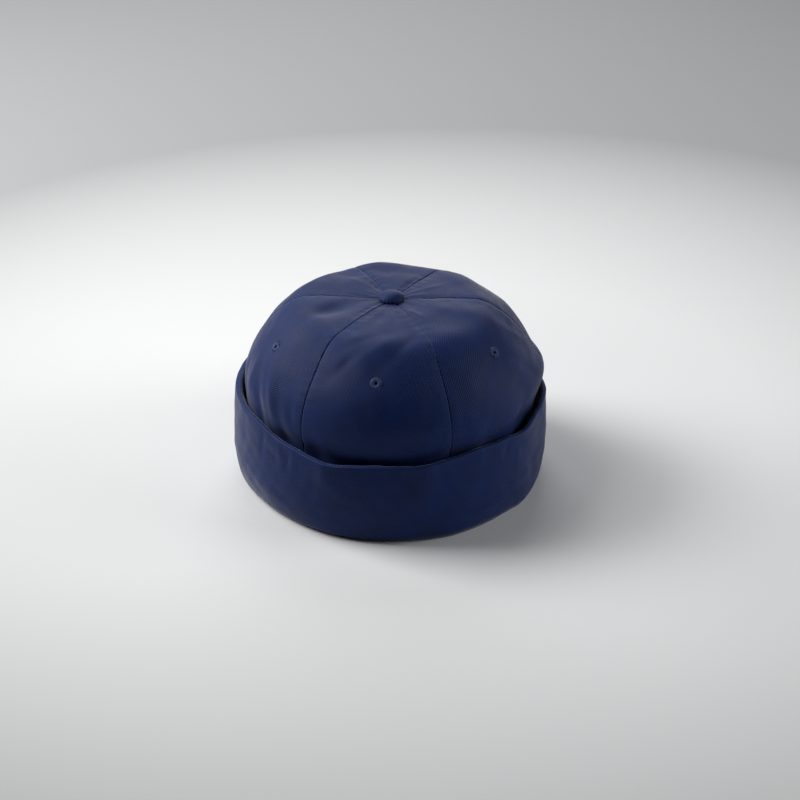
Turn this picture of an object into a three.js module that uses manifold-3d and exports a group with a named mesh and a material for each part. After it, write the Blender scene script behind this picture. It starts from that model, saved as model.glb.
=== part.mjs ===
// A docker cap: a brimless round cap sewn from cloth panels, standing on its turned-up cuff.
// Millimetres, +Z up. The floor is Z = 0, the cap's middle is X = Y = 0, the front faces -Y.
// A bearing is an angle round the cap in degrees: 0 at the front, growing towards +X.

import * as THREE from 'three';
import { mergeVertices } from 'three/addons/utils/BufferGeometryUtils.js';
import Module from 'manifold-3d';

const wasm = await Module();
wasm.setup();

// Driving dimensions
const SEWN_GAP = 0.3;
const CLOTH_WALL = 1.6;
const PANEL_PUFF = 1.5;
const PANEL_TIP_RADIUS = 4;
const CROWN_HEM_HEIGHT = 14;
const CROWN_LEAN = 4.6;
const CROWN_LEAN_REACH = 55;

const HEAD_RADIUS = 88;
const BAND_WALL = 2;
const CUFF_WALL = 2.4;
const CUFF_SOLE = 2.2;
const CUFF_FOLD_EASE = 1;
const CUFF_CORNER_EASE = 2.5;
const CUFF_HEEL = { level: 0.1, swell: 0.62 };
const CUFF_WAIST_LEVEL = 0.42;

const BUTTON_RADIUS = 8.1;
const BUTTON_RISE = 5.2;
const BUTTON_EDGE = 1.8;
const BUTTON_SEAT_HEIGHT = 118.5;
const POST_RADIUS = 3.6;
const POST_LENGTH = 2.5;
const CLINCH_RADIUS = 5.8;
const CLINCH_WALL = 1;

const EYELET_RADIUS = 3.85;
const EYELET_HOLE_RADIUS = 1.25;
const EYELET_BARREL_RADIUS = 2.2;
const EYELET_BACK_RADIUS = 3.2;
const EYELET_BEAD = 0.8;
const EYELET_BACK_GAP = 0.75;
const EYELET_PUNCH_LENGTH = 12;

// Facets
const PANEL_COLUMNS = 12;
const ROWS_ABOVE_EYELET = 10;
const ROWS_BELOW_EYELET = 8;
const CUFF_SECTIONS = 72;
const CUFF_WALL_STEPS = 7;
const BUTTON_SIDES = 24;
const BUTTON_CURVE_STEPS = 4;
const EYELET_SIDES = 12;

const NAVY_CLOTH = { color: 0x232c4a, roughness: 0.92, metalness: 0 };
const NAVY_THREAD = { color: 0x2a3354, roughness: 0.7, metalness: 0 };

// The panels, each between the bearings of its two seams, with the place of its eyelet.
const PANELS = [
  { name: 'front', from: -30, to: 29.5, eyelet_bearing: -0.5, eyelet_drop: 84.5 },
  { name: 'front_right', from: 29.5, to: 100, eyelet_bearing: 62, eyelet_drop: 81 },
  { name: 'back_right', from: 100, to: 153, eyelet_bearing: 130, eyelet_drop: 88 },
  { name: 'back', from: 153, to: 208, eyelet_bearing: 180.5, eyelet_drop: 84 },
  { name: 'back_left', from: 208, to: 265.5, eyelet_bearing: 236.5, eyelet_drop: 84 },
  { name: 'front_left', from: 265.5, to: 330, eyelet_bearing: 300.5, eyelet_drop: 82.5 },
];

// The crown's outside at a seam, from the middle of the top down to the hem.
const CROWN_PROFILE = [
  { radius: 0, height: 118.0 },
  { radius: 38, height: 118.6 },
  { radius: 61.5, height: 115.2 },
  { radius: 80, height: 98.6 },
  { radius: 90.2, height: 81 },
  { radius: 92.6, height: 66 },
  { radius: 91, height: 42 },
  { radius: 90, height: CROWN_HEM_HEIGHT },
];

// Folds of the crown: along is the way down from the middle of the top, across and length are
// half sizes, turn leans the fold, and a fold with a negative rise is a hollow.
const FOLDS = [
  { name: 'hollow by the left seam', bearing: -64, along: 38, across: 8, length: 16, turn: 12, rise: -2.9 },
  { name: 'hollow by the right seam', bearing: 58, along: 52, across: 11, length: 15, turn: 18, rise: -1.7 },
  { name: 'ridge by the right seam', bearing: 72, along: 40, across: 6, length: 16, turn: 12, rise: 0.8 },
  { name: 'crease under the button', bearing: -8.5, along: 30, across: 4, length: 9, turn: 0, rise: -0.9 },
  { name: 'upper front ripple', bearing: -6, along: 56, across: 5, length: 17, turn: -45, rise: -0.55 },
  { name: 'lower front ripple', bearing: 6, along: 69, across: 5, length: 18, turn: -45, rise: -0.8 },
  { name: 'left ridge', bearing: -48, along: 106, across: 4.5, length: 17, turn: 20, rise: 1.5 },
  { name: 'left valley', bearing: -41, along: 124, across: 4.5, length: 12, turn: 20, rise: -0.9 },
  { name: 'far left valley', bearing: -56, along: 118, across: 5, length: 15, turn: 18, rise: -1.7 },
  { name: 'right crease', bearing: 77, along: 101, across: 4.5, length: 12, turn: 45, rise: -0.9 },
  { name: 'right swell', bearing: 100, along: 115, across: 34, length: 10, turn: 0, rise: 6.6 },
  { name: 'right shoulder', bearing: 116, along: 86, across: 26, length: 15, turn: 0, rise: 2.4 },
  { name: 'back right swell', bearing: 145, along: 61, across: 17, length: 16, turn: 0, rise: 1.4 },
  { name: 'back left hollow', bearing: -138, along: 48, across: 8, length: 9, turn: 0, rise: -1.4 },
  { name: 'back left swell', bearing: -162, along: 65, across: 12, length: 16, turn: 0, rise: 1.7 },
  { name: 'back dip', bearing: 170, along: 60, across: 10, length: 14, turn: 0, rise: -0.8 },
  { name: 'back slack', bearing: 178, along: 104, across: 9, length: 16, turn: -10, rise: -1.5 },
];

// The cuff round the cap: the height of its rim, and the outside radius at rim, waist and floor.
const CUFF_SHAPE = [
  { bearing: -160, rim_height: 62, rim_radius: 98.5, waist_radius: 100.2, foot_radius: 94 },
  { bearing: -130, rim_height: 63, rim_radius: 98.6, waist_radius: 100.6, foot_radius: 94.5 },
  { bearing: -104, rim_height: 63.5, rim_radius: 100.6, waist_radius: 102, foot_radius: 95 },
  { bearing: -88, rim_height: 62, rim_radius: 100.2, waist_radius: 102.2, foot_radius: 95 },
  { bearing: -69, rim_height: 61.5, rim_radius: 98.6, waist_radius: 101.4, foot_radius: 94.2 },
  { bearing: -54, rim_height: 61.4, rim_radius: 98.4, waist_radius: 99.8, foot_radius: 92.4 },
  { bearing: -46, rim_height: 58.8, rim_radius: 97.8, waist_radius: 99.7, foot_radius: 92 },
  { bearing: -38, rim_height: 57.4, rim_radius: 97.6, waist_radius: 99.6, foot_radius: 92 },
  { bearing: -28, rim_height: 55.2, rim_radius: 98.6, waist_radius: 100, foot_radius: 92.8 },
  { bearing: -19, rim_height: 53.2, rim_radius: 101.6, waist_radius: 100.6, foot_radius: 93.6 },
  { bearing: -9, rim_height: 53.6, rim_radius: 99.2, waist_radius: 100.2, foot_radius: 94.2 },
  { bearing: 1, rim_height: 53.7, rim_radius: 98, waist_radius: 100.2, foot_radius: 94.6 },
  { bearing: 10, rim_height: 53.8, rim_radius: 98.8, waist_radius: 100.4, foot_radius: 95 },
  { bearing: 18, rim_height: 54.4, rim_radius: 101, waist_radius: 100.6, foot_radius: 95.6 },
  { bearing: 28, rim_height: 56, rim_radius: 97.8, waist_radius: 100.4, foot_radius: 96.4 },
  { bearing: 41, rim_height: 57.4, rim_radius: 97.6, waist_radius: 100, foot_radius: 95 },
  { bearing: 56, rim_height: 57.6, rim_radius: 100, waist_radius: 100, foot_radius: 94.2 },
  { bearing: 64, rim_height: 57, rim_radius: 101, waist_radius: 100.8, foot_radius: 96.4 },
  { bearing: 76, rim_height: 58.2, rim_radius: 99.2, waist_radius: 100.4, foot_radius: 95 },
  { bearing: 88, rim_height: 60, rim_radius: 99.8, waist_radius: 100.4, foot_radius: 94.6 },
  { bearing: 97, rim_height: 59, rim_radius: 100, waist_radius: 100.4, foot_radius: 94.4 },
  { bearing: 110, rim_height: 59, rim_radius: 99.4, waist_radius: 100.3, foot_radius: 94.2 },
  { bearing: 130, rim_height: 59.5, rim_radius: 98.4, waist_radius: 100, foot_radius: 94 },
  { bearing: 165, rim_height: 62, rim_radius: 98.5, waist_radius: 100.4, foot_radius: 94.4 },
];

const crownPoints = CROWN_PROFILE.map((row) => new THREE.Vector2(row.radius, row.height));
const crownCurve = new THREE.SplineCurve(crownPoints);
const crownLength = crownCurve.getLength();

function atBearing(bearing, radius, height) {
  const turn = THREE.MathUtils.degToRad(bearing);
  return new THREE.Vector3(radius * Math.sin(turn), -radius * Math.cos(turn), height);
}

function shortestTurn(from, to) {
  return THREE.MathUtils.euclideanModulo(to - from + 180, 360) - 180;
}

function panelMiddle(panel) {
  return (panel.from + panel.to) / 2;
}

function panelHalf(panel) {
  return (panel.to - panel.from) / 2;
}

// How far the folds lift the crown's cloth at one place.
function foldLift(bearing, along, radius) {
  let lift = 0;
  for (const fold of FOLDS) {
    const sideways = THREE.MathUtils.degToRad(shortestTurn(fold.bearing, bearing)) * radius;
    const lengthways = along - fold.along;
    const lean = THREE.MathUtils.degToRad(fold.turn);
    const across = (sideways * Math.cos(lean) - lengthways * Math.sin(lean)) / fold.across;
    const length = (sideways * Math.sin(lean) + lengthways * Math.cos(lean)) / fold.length;
    lift += fold.rise * Math.exp(-across * across - length * length);
  }
  return lift;
}

// A place on the crown: side runs from -1 to 1 between the panel's two seams, and inset goes into
// the cloth. The panel swells between its seams, and the crown's top leans back.
function crownPlace(panel, side, along, inset) {
  const share = along / crownLength;
  const base = crownCurve.getPointAt(share);
  const tangent = crownCurve.getTangentAt(share);
  const halfGap = THREE.MathUtils.radToDeg(SEWN_GAP / 2 / base.x);
  const bearing = panelMiddle(panel) + side * (panelHalf(panel) - halfGap);
  const puff = PANEL_PUFF * (1 - side * side) * Math.sin(Math.PI * share);
  const lift = puff + foldLift(bearing, along, base.x) - inset;
  const place = atBearing(bearing, base.x - tangent.y * lift, base.y + tangent.x * lift);
  place.y += CROWN_LEAN * Math.exp(-((along / CROWN_LEAN_REACH) ** 2));
  return place;
}

// A solid through loops of points. An endless one goes round and meets itself, and the other is a
// strip folded flat, with its first half of points over its second half, closed at both ends.
function loftGeometry(loops, endless) {
  const count = loops[0].length;
  const spans = endless ? loops.length : loops.length - 1;
  const indices = [];
  const addQuad = (a, b, c, d) => indices.push(a, b, c, a, c, d);
  for (let loop = 0; loop < spans; loop += 1) {
    const here = loop * count;
    const next = ((loop + 1) % loops.length) * count;
    for (let k = 0; k < count; k += 1) {
      const after = (k + 1) % count;
      addQuad(here + k, next + k, next + after, here + after);
    }
  }
  if (!endless) {
    const last = (loops.length - 1) * count;
    for (let k = 0; k < count / 2 - 1; k += 1) {
      const across = count - 1 - k;
      addQuad(k, k + 1, across - 1, across);
      addQuad(last + k, last + across, last + across - 1, last + k + 1);
    }
  }
  const geometry = new THREE.BufferGeometry();
  const positions = loops.flat().flatMap((point) => point.toArray());
  geometry.setAttribute('position', new THREE.Float32BufferAttribute(positions, 3));
  geometry.setIndex(indices);
  return geometry;
}

function toManifold(geometry) {
  const bare = geometry.clone();
  bare.deleteAttribute('normal');
  bare.deleteAttribute('uv');
  const merged = mergeVertices(bare);
  const vertProperties = new Float32Array(merged.attributes.position.array);
  const triVerts = new Uint32Array(merged.index.array);
  return new wasm.Manifold(new wasm.Mesh({ numProp: 3, vertProperties, triVerts }));
}

function fromManifold(solid) {
  const mesh = solid.getMesh();
  const geometry = new THREE.BufferGeometry();
  geometry.setAttribute('position', new THREE.BufferAttribute(mesh.vertProperties, 3));
  geometry.setIndex(new THREE.BufferAttribute(mesh.triVerts, 1));
  return geometry;
}

function namedMesh(name, geometry, finish) {
  geometry.computeVertexNormals();
  const mesh = new THREE.Mesh(geometry, new THREE.MeshStandardMaterial(finish));
  mesh.name = name;
  return mesh;
}

// The eyelet's seat on its panel: the middle of its hole on the cloth, and the way it faces.
function eyeletSeat(panel) {
  const side = (panel.eyelet_bearing - panelMiddle(panel)) / panelHalf(panel);
  const middle = crownPlace(panel, side, panel.eyelet_drop, 0);
  const behind = crownPlace(panel, side, panel.eyelet_drop, CLOTH_WALL);
  const facing = middle.clone().sub(behind).normalize();
  const turn = new THREE.Quaternion().setFromUnitVectors(new THREE.Vector3(0, 1, 0), facing);
  return { side, middle, turn };
}

// Even steps from one number to a second one, and from there to a third.
function stepsThrough(start, middle, end, before, after) {
  const steps = [];
  for (let k = 0; k < before; k += 1) {
    steps.push(THREE.MathUtils.lerp(start, middle, k / before));
  }
  for (let k = 0; k <= after; k += 1) {
    steps.push(THREE.MathUtils.lerp(middle, end, k / after));
  }
  return steps;
}

// A panel's rows and columns meet in the middle of its eyelet.
function crownPanel(panel) {
  const seat = eyeletSeat(panel);
  const drop = panel.eyelet_drop;
  const rows = stepsThrough(PANEL_TIP_RADIUS, drop, crownLength, ROWS_ABOVE_EYELET, ROWS_BELOW_EYELET);
  const sides = stepsThrough(-1, seat.side, 1, PANEL_COLUMNS / 2, PANEL_COLUMNS / 2);
  const loops = rows.map((along) => {
    const outside = sides.map((side) => crownPlace(panel, side, along, 0));
    const inside = sides.map((side) => crownPlace(panel, side, along, CLOTH_WALL));
    return [...outside, ...inside.reverse()];
  });
  const holeRadius = EYELET_BARREL_RADIUS + SEWN_GAP;
  const punch = new THREE.CylinderGeometry(holeRadius, holeRadius, EYELET_PUNCH_LENGTH, EYELET_SIDES);
  punch.applyQuaternion(seat.turn);
  punch.translate(seat.middle.x, seat.middle.y, seat.middle.z);
  const pierced = toManifold(loftGeometry(loops, false)).subtract(toManifold(punch));
  return namedMesh(`crown_panel_${panel.name}`, fromManifold(pierced), NAVY_CLOTH);
}

const firstRow = CUFF_SHAPE[0];
const lastRow = CUFF_SHAPE[CUFF_SHAPE.length - 1];
const CUFF_ALL_ROUND = [
  { ...lastRow, bearing: lastRow.bearing - 360 },
  ...CUFF_SHAPE,
  { ...firstRow, bearing: firstRow.bearing + 360 },
];

function cuffTableSize(column, bearing) {
  const next = CUFF_ALL_ROUND.findIndex((row) => row.bearing > bearing);
  const from = CUFF_ALL_ROUND[next - 1];
  const to = CUFF_ALL_ROUND[next];
  const share = (bearing - from.bearing) / (to.bearing - from.bearing);
  return THREE.MathUtils.lerp(from[column], to[column], share);
}

// One size of the cuff at a bearing: straight between the rows of its table, with eased corners.
function cuffSize(column, bearing) {
  const before = cuffTableSize(column, bearing - CUFF_CORNER_EASE);
  const here = cuffTableSize(column, bearing);
  const after = cuffTableSize(column, bearing + CUFF_CORNER_EASE);
  return (before + 2 * here + after) / 4;
}

// The cuff's section at one bearing, a hook: up the outside from the floor, over the rim, down
// the inside of the turn-up, up the band to the crown's hem, and down the inside of the band.
function cuffSection(bearing) {
  const rimHeight = cuffSize('rim_height', bearing);
  const rim = cuffSize('rim_radius', bearing);
  const waist = cuffSize('waist_radius', bearing);
  const foot = cuffSize('foot_radius', bearing);
  const heel = THREE.MathUtils.lerp(foot, waist, CUFF_HEEL.swell);
  const turnUp = new THREE.SplineCurve([
    new THREE.Vector2(foot, 0),
    new THREE.Vector2(heel, CUFF_HEEL.level * rimHeight),
    new THREE.Vector2(waist, CUFF_WAIST_LEVEL * rimHeight),
    new THREE.Vector2(rim, rimHeight - CUFF_FOLD_EASE),
  ]);
  const outside = turnUp.getPoints(CUFF_WALL_STEPS);
  const within = outside.slice(2).map((point) => new THREE.Vector2(point.x - CUFF_WALL, point.y));
  const bandOutside = HEAD_RADIUS + BAND_WALL;
  const bandTop = CROWN_HEM_HEIGHT - SEWN_GAP;
  const section = [
    ...outside,
    new THREE.Vector2(rim - CUFF_WALL / 4, rimHeight),
    new THREE.Vector2(rim - (3 * CUFF_WALL) / 4, rimHeight),
    ...within.reverse(),
    new THREE.Vector2(bandOutside + CUFF_FOLD_EASE, CUFF_SOLE),
    new THREE.Vector2(bandOutside, CUFF_SOLE + CUFF_FOLD_EASE),
    new THREE.Vector2(bandOutside, bandTop),
    new THREE.Vector2(HEAD_RADIUS, bandTop),
    new THREE.Vector2(HEAD_RADIUS, CUFF_FOLD_EASE),
    new THREE.Vector2(HEAD_RADIUS + CUFF_FOLD_EASE, 0),
  ];
  return section.map((point) => atBearing(bearing, point.x, point.y));
}

function cuff() {
  const loops = [];
  for (let k = 0; k < CUFF_SECTIONS; k += 1) {
    loops.push(cuffSection((360 * k) / CUFF_SECTIONS - 180));
  }
  return namedMesh('cuff', loftGeometry(loops, true), NAVY_CLOTH);
}

// The button: a low dome over the crown's top, on a plain post clinched under the cloth.
function button() {
  const profile = new THREE.Path();
  profile.moveTo(0, -POST_LENGTH - CLINCH_WALL);
  profile.lineTo(CLINCH_RADIUS, -POST_LENGTH - CLINCH_WALL);
  profile.lineTo(CLINCH_RADIUS, -POST_LENGTH);
  profile.lineTo(POST_RADIUS, -POST_LENGTH);
  profile.lineTo(POST_RADIUS, 0);
  profile.lineTo(BUTTON_RADIUS - BUTTON_EDGE / 2, 0);
  profile.quadraticCurveTo(BUTTON_RADIUS, 0, BUTTON_RADIUS, BUTTON_EDGE);
  const shoulder = BUTTON_RISE - BUTTON_EDGE / 2;
  profile.bezierCurveTo(BUTTON_RADIUS, shoulder, BUTTON_RADIUS / 2, BUTTON_RISE, 0, BUTTON_RISE);
  const geometry = new THREE.LatheGeometry(profile.getPoints(BUTTON_CURVE_STEPS), BUTTON_SIDES);
  const mesh = namedMesh('button', geometry, NAVY_CLOTH);
  mesh.rotation.x = Math.PI / 2;
  mesh.position.set(0, CROWN_LEAN, BUTTON_SEAT_HEIGHT);
  return mesh;
}

// An eyelet: a thread bead round a hole, with a barrel through the cloth and a flange behind it.
function eyelet(panel) {
  const back = -CLOTH_WALL - EYELET_BACK_GAP;
  const beadTop = SEWN_GAP + EYELET_BEAD;
  const beadShoulder = SEWN_GAP + EYELET_BEAD / 2;
  const profile = [
    new THREE.Vector2(EYELET_HOLE_RADIUS, back - EYELET_BEAD),
    new THREE.Vector2(EYELET_BACK_RADIUS, back - EYELET_BEAD),
    new THREE.Vector2(EYELET_BACK_RADIUS, back),
    new THREE.Vector2(EYELET_BARREL_RADIUS, back),
    new THREE.Vector2(EYELET_BARREL_RADIUS, SEWN_GAP),
    new THREE.Vector2(EYELET_RADIUS, SEWN_GAP),
    new THREE.Vector2(EYELET_RADIUS, beadShoulder),
    new THREE.Vector2((EYELET_RADIUS + EYELET_HOLE_RADIUS) / 2, beadTop),
    new THREE.Vector2(EYELET_HOLE_RADIUS, beadShoulder),
    new THREE.Vector2(EYELET_HOLE_RADIUS, back - EYELET_BEAD),
  ];
  const seat = eyeletSeat(panel);
  const geometry = new THREE.LatheGeometry(profile, EYELET_SIDES);
  const mesh = namedMesh(`eyelet_${panel.name}`, geometry, NAVY_THREAD);
  mesh.position.copy(seat.middle);
  mesh.quaternion.copy(seat.turn);
  return mesh;
}

const cap = new THREE.Group();
cap.name = 'docker_cap';
cap.add(cuff());
cap.add(button());
for (const panel of PANELS) {
  cap.add(crownPanel(panel));
  cap.add(eyelet(panel));
}

export default cap;
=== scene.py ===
# %% [markdown]
# # A docker cap in navy twill
#
# A docker cap is a brimless round cap. Six cloth panels are sewn into a crown, a covered button
# closes the top, and the band at the hem is turned up into a deep cuff that the cap stands on.
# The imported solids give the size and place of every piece. They stay as they are, and each one
# is hidden behind a finer piece of cloth or thread that is made here at the same place.

import math
from collections import namedtuple

import bpy
import numpy as np
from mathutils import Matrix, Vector


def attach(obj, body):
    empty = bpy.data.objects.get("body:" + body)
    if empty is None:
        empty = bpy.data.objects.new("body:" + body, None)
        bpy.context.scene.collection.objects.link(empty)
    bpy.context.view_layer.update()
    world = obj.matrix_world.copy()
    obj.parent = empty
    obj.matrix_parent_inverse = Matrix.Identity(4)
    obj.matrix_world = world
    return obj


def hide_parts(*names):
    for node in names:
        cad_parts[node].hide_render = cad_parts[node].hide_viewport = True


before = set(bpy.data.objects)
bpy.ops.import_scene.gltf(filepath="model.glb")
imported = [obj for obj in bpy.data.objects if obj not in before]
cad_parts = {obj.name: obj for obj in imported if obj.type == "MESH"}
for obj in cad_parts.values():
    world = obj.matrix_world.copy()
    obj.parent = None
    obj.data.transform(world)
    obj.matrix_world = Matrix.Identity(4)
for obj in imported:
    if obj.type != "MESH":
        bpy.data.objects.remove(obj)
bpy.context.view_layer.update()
MM = 0.001
print("solids:", ", ".join(sorted(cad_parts)))

# %% [markdown]
# ## The camera
#
# The picture was taken with a long lens from a little above the cap, so parallel edges hardly
# converge. A camera is placed by its direction and distance, and then aimed. The aim is set a
# little to the side of the cap and below its middle, because the cap isn't quite in the middle of
# the picture. That keeps the lens free of any shift.

# %% Camera
VIEW_BEARING = math.radians(6)
VIEW_RISE = math.radians(27.6)
VIEW_DISTANCE = 1.3
VIEW_LENS = 90.7
CAP_MIDDLE = Vector((0, 0, 0.060))
AIM_RIGHT = 0.0060
AIM_DOWN = 0.0103

level_reach = math.cos(VIEW_RISE)
to_camera = Vector((
    math.sin(VIEW_BEARING) * level_reach,
    -math.cos(VIEW_BEARING) * level_reach,
    math.sin(VIEW_RISE),
))
picture_right = Vector((math.cos(VIEW_BEARING), math.sin(VIEW_BEARING), 0))
picture_up = to_camera.cross(picture_right)
aim = CAP_MIDDLE + AIM_RIGHT * picture_right - AIM_DOWN * picture_up

camera = bpy.data.objects.new("camera", bpy.data.cameras.new("camera"))
camera.data.lens = VIEW_LENS
camera.location = CAP_MIDDLE + VIEW_DISTANCE * to_camera
camera.rotation_euler = (aim - camera.location).to_track_quat("-Z", "Y").to_euler()
bpy.context.scene.collection.objects.link(camera)
bpy.context.scene.camera = camera
print("camera at", tuple(round(x, 3) for x in camera.location))

# %% [markdown]
# ## Shader maths as Python
#
# A material is a tree of nodes, and long sums in nodes are hard to read. This class wraps one
# output socket. Its operators add Math nodes, so that a weave can be written as a line of Python,
# and its one method for other nodes takes the type, the settings and the sockets.

# %% A wire between nodes
class Wire:
    """An output socket that Python's arithmetic works on."""

    def __init__(self, tree, socket):
        self.tree = tree
        self.socket = socket

    @classmethod
    def node(cls, tree, kind, settings=None, sockets=None, output=0):
        """Adds a node, sets its settings and then its sockets, and returns one of its outputs."""
        made = tree.nodes.new(kind)
        for name, value in (settings or {}).items():
            if name == "curve":
                cls.set_curve(made.mapping, value)
            else:
                setattr(made, name, value)
        for key, value in (sockets or {}).items():
            cls.feed(tree, made.inputs[key], value)
        return cls(tree, made.outputs[output] if made.outputs else None)

    @staticmethod
    def feed(tree, target, value):
        if isinstance(value, Wire):
            tree.links.new(value.socket, target)
        else:
            target.default_value = value

    @staticmethod
    def set_curve(mapping, points):
        curve = mapping.curves[0]
        while len(curve.points) < len(points):
            curve.points.new(1.0, 1.0)
        for point, place in zip(curve.points, points):
            point.location = place
        mapping.update()

    def out(self, name):
        """Another output of the same node."""
        return Wire(self.tree, self.socket.node.outputs[name])

    def math(self, operation, *others):
        sockets = dict(enumerate((self, *others)))
        return Wire.node(self.tree, "ShaderNodeMath", {"operation": operation}, sockets)

    def __add__(self, other):
        return self.math("ADD", other)

    def __mul__(self, other):
        return self.math("MULTIPLY", other)

    def __sub__(self, other):
        return self.math("SUBTRACT", other)

    def __rsub__(self, other):
        return self * -1 + other

    def __truediv__(self, other):
        return self.math("DIVIDE", other)

    __radd__ = __add__
    __rmul__ = __mul__


def mix_color(factor, first, second):
    """A colour that goes from first to second as factor goes from 0 to 1."""
    sockets = {0: factor, 6: first, 7: second}
    settings = {"data_type": "RGBA", "clamp_factor": True}
    return Wire.node(factor.tree, "ShaderNodeMix", settings, sockets, output=2)


def new_material(name):
    material = bpy.data.materials.new(name)
    material.use_nodes = True
    material.node_tree.nodes.clear()
    return material


def finish_material(material, sockets):
    """Puts one Principled shader at the end of a material."""
    tree = material.node_tree
    shader = Wire.node(tree, "ShaderNodeBsdfPrincipled", {}, sockets)
    Wire.node(tree, "ShaderNodeOutputMaterial", {}, {"Surface": shader})
    return material


print("ready to write materials as sums")

# %% [markdown]
# ## The floor and the light
#
# The cap stands on a pale studio floor with a painted pool of light: its colour darkens away
# from the cap as painted shade. The light is soft. Two softboxes stand at the left, one high and
# one lower, a third stands behind the cap, and a fourth is low at the right. So the front of the
# crown and of the cuff stay dark, the top and the left side catch the light, and the shadow falls
# to the right. One bright world all round would be simpler, but it would light the front as well,
# so the world here is nearly dark.

# %% Floor, world and lights
FLOOR_HALF = 6.0
# The floor's colour paints a pool of light: pale near the cap, painted shade further out.
FLOOR_PAINTED_SHADE = (0.34, 0.345, 0.35, 1)
FLOOR_PALE = (0.71, 0.715, 0.72, 1)
PAINTED_POOL_MIDDLE = (0.05, 0.08)
PAINTED_POOL_RADIUS = 0.2
PAINTED_POOL_EDGE = 0.56
FLOOR_ROUGHNESS = 0.85
WORLD_GREY = (0.86, 0.88, 0.92, 1)
WORLD_STRENGTH = 0.03

Softbox = namedtuple("Softbox", "name place size watts color")
SOFTBOXES = [
    Softbox("high_left_softbox", (-1.0, 0.2, 1.25), 0.9, 11.2, (1.0, 1.0, 1.0)),
    Softbox("low_left_softbox", (-1.25, 0.2, 0.9), 0.8, 21.5, (1.0, 0.99, 0.98)),
    Softbox("back_softbox", (-0.2, 1.3, 1.1), 1.0, 9.8, (1.0, 1.0, 1.0)),
    Softbox("right_softbox", (1.4, 0.0, 0.6), 0.8, 11.0, (0.98, 0.99, 1.0)),
]


def floor_material():
    """A pale floor with a painted pool of light, darker away from the cap as under lights that stand
    close.
    """
    material = new_material("studio_floor")
    tree = material.node_tree
    place = Wire.node(tree, "ShaderNodeTexCoord").out("Object")
    split = Wire.node(tree, "ShaderNodeSeparateXYZ", {}, {"Vector": place})
    # Painted pool of light: the colour fades from pale to painted shade with the distance from its
    # middle.
    aside = (split - PAINTED_POOL_MIDDLE[0]).math("POWER", 2.0)
    ahead = (split.out("Y") - PAINTED_POOL_MIDDLE[1]).math("POWER", 2.0)
    away = (aside + ahead - PAINTED_POOL_RADIUS ** 2) / (PAINTED_POOL_EDGE ** 2 - PAINTED_POOL_RADIUS ** 2)
    color = mix_color(away, FLOOR_PALE, FLOOR_PAINTED_SHADE)
    return finish_material(material, {"Base Color": color, "Roughness": FLOOR_ROUGHNESS})


def add_floor():
    mesh = bpy.data.meshes.new("studio_floor")
    corners = [(-1, -1), (1, -1), (1, 1), (-1, 1)]
    mesh.from_pydata([(x * FLOOR_HALF, y * FLOOR_HALF, 0) for x, y in corners], [], [(0, 1, 2, 3)])
    mesh.materials.append(floor_material())
    floor = bpy.data.objects.new("studio_floor", mesh)
    bpy.context.scene.collection.objects.link(floor)


def add_softbox(box):
    lamp = bpy.data.lights.new(box.name, "AREA")
    lamp.shape = "SQUARE"
    lamp.size = box.size
    lamp.energy = box.watts
    lamp.color = box.color
    holder = bpy.data.objects.new(box.name, lamp)
    holder.location = box.place
    holder.rotation_euler = (CAP_MIDDLE - holder.location).to_track_quat("-Z", "Y").to_euler()
    bpy.context.scene.collection.objects.link(holder)


def add_world():
    world = bpy.data.worlds.new("studio")
    world.use_nodes = True
    backdrop = world.node_tree.nodes["Background"]
    backdrop.inputs["Color"].default_value = WORLD_GREY
    backdrop.inputs["Strength"].default_value = WORLD_STRENGTH
    bpy.context.scene.world = world


add_floor()
add_world()
for softbox in SOFTBOXES:
    add_softbox(softbox)
bpy.context.scene.view_settings.view_transform = "Standard"
print("lights:", len(SOFTBOXES), "softboxes and a dim grey world")

# %% [markdown]
# ## Navy twill
#
# Twill is the weave of jeans and work clothes: each thread passes over two or three others, one
# step further along in each row, so that fine ribs run slantwise over the cloth. The ribs here
# are a little over a millimetre apart. They could be an image, but a formula on the cloth's own
# flat coordinates follows every panel and stays sharp. A sine across the ribs and one along them
# give the height, a noise makes the yarns waver, and larger noises give the uneven dye. The same
# ribs also tint the colour: the valleys between them are darker as painted shade, and the raised
# yarn is paler as a painted highlight. The pale sheen of cotton fibres is the shader's own sheen,
# and an attribute makes some edges a little greyer: on the cuff's rim this is partly wear and
# partly a painted highlight where the fold catches the light.

# %% Twill finish
RIB_PITCH = 1.15
FLOAT_PITCH = 1.5
FLOAT_SLANT = 0.55
FLOAT_WAVER = 1.5
FLOAT_SHARE = 0.45
YARN_WAVER = 2.2
YARN_WAVER_SCALE = 420.0
BROAD_WAVER = 7.0
BROAD_WAVER_SCALE = 60.0
MOTTLE_SCALE = 55.0
MOTTLE_DETAIL = 4.0
SLUB_SCALE = 900.0
TONE_OF_YARN = 0.95
TONE_OF_MOTTLE = 0.7
TONE_OF_SLUB = 0.4
TONE_DROP = 0.02
RUB_AND_HIGHLIGHT_OF_YARN = 0.7
RUB_AND_HIGHLIGHT_OF_MOTTLE = 1.2
RUB_AND_HIGHLIGHT_LEAST = 0.2
HEIGHT_OF_SLUB = 0.6
HEIGHT_OF_MOTTLE = 1.2
ROUGHNESS_LEAST = 0.5
ROUGHNESS_SPREAD = 0.2
WEAVE_DEPTH = 0.16 * MM
WEAVE_STRENGTH = 0.75
CLOTH_GLOSS = 0.18
CLOTH_SHEEN = 0.38
CLOTH_SHEEN_SPREAD = 0.3
# The deep navy is painted shade in the weave's valleys and the raised navy a painted highlight on
# raised yarn; mottle and slubs move between them as uneven dye.
NAVY_DEEP = (0.0004, 0.0060, 0.044, 1)
NAVY_RAISED = (0.0016, 0.0250, 0.145, 1)
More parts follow.
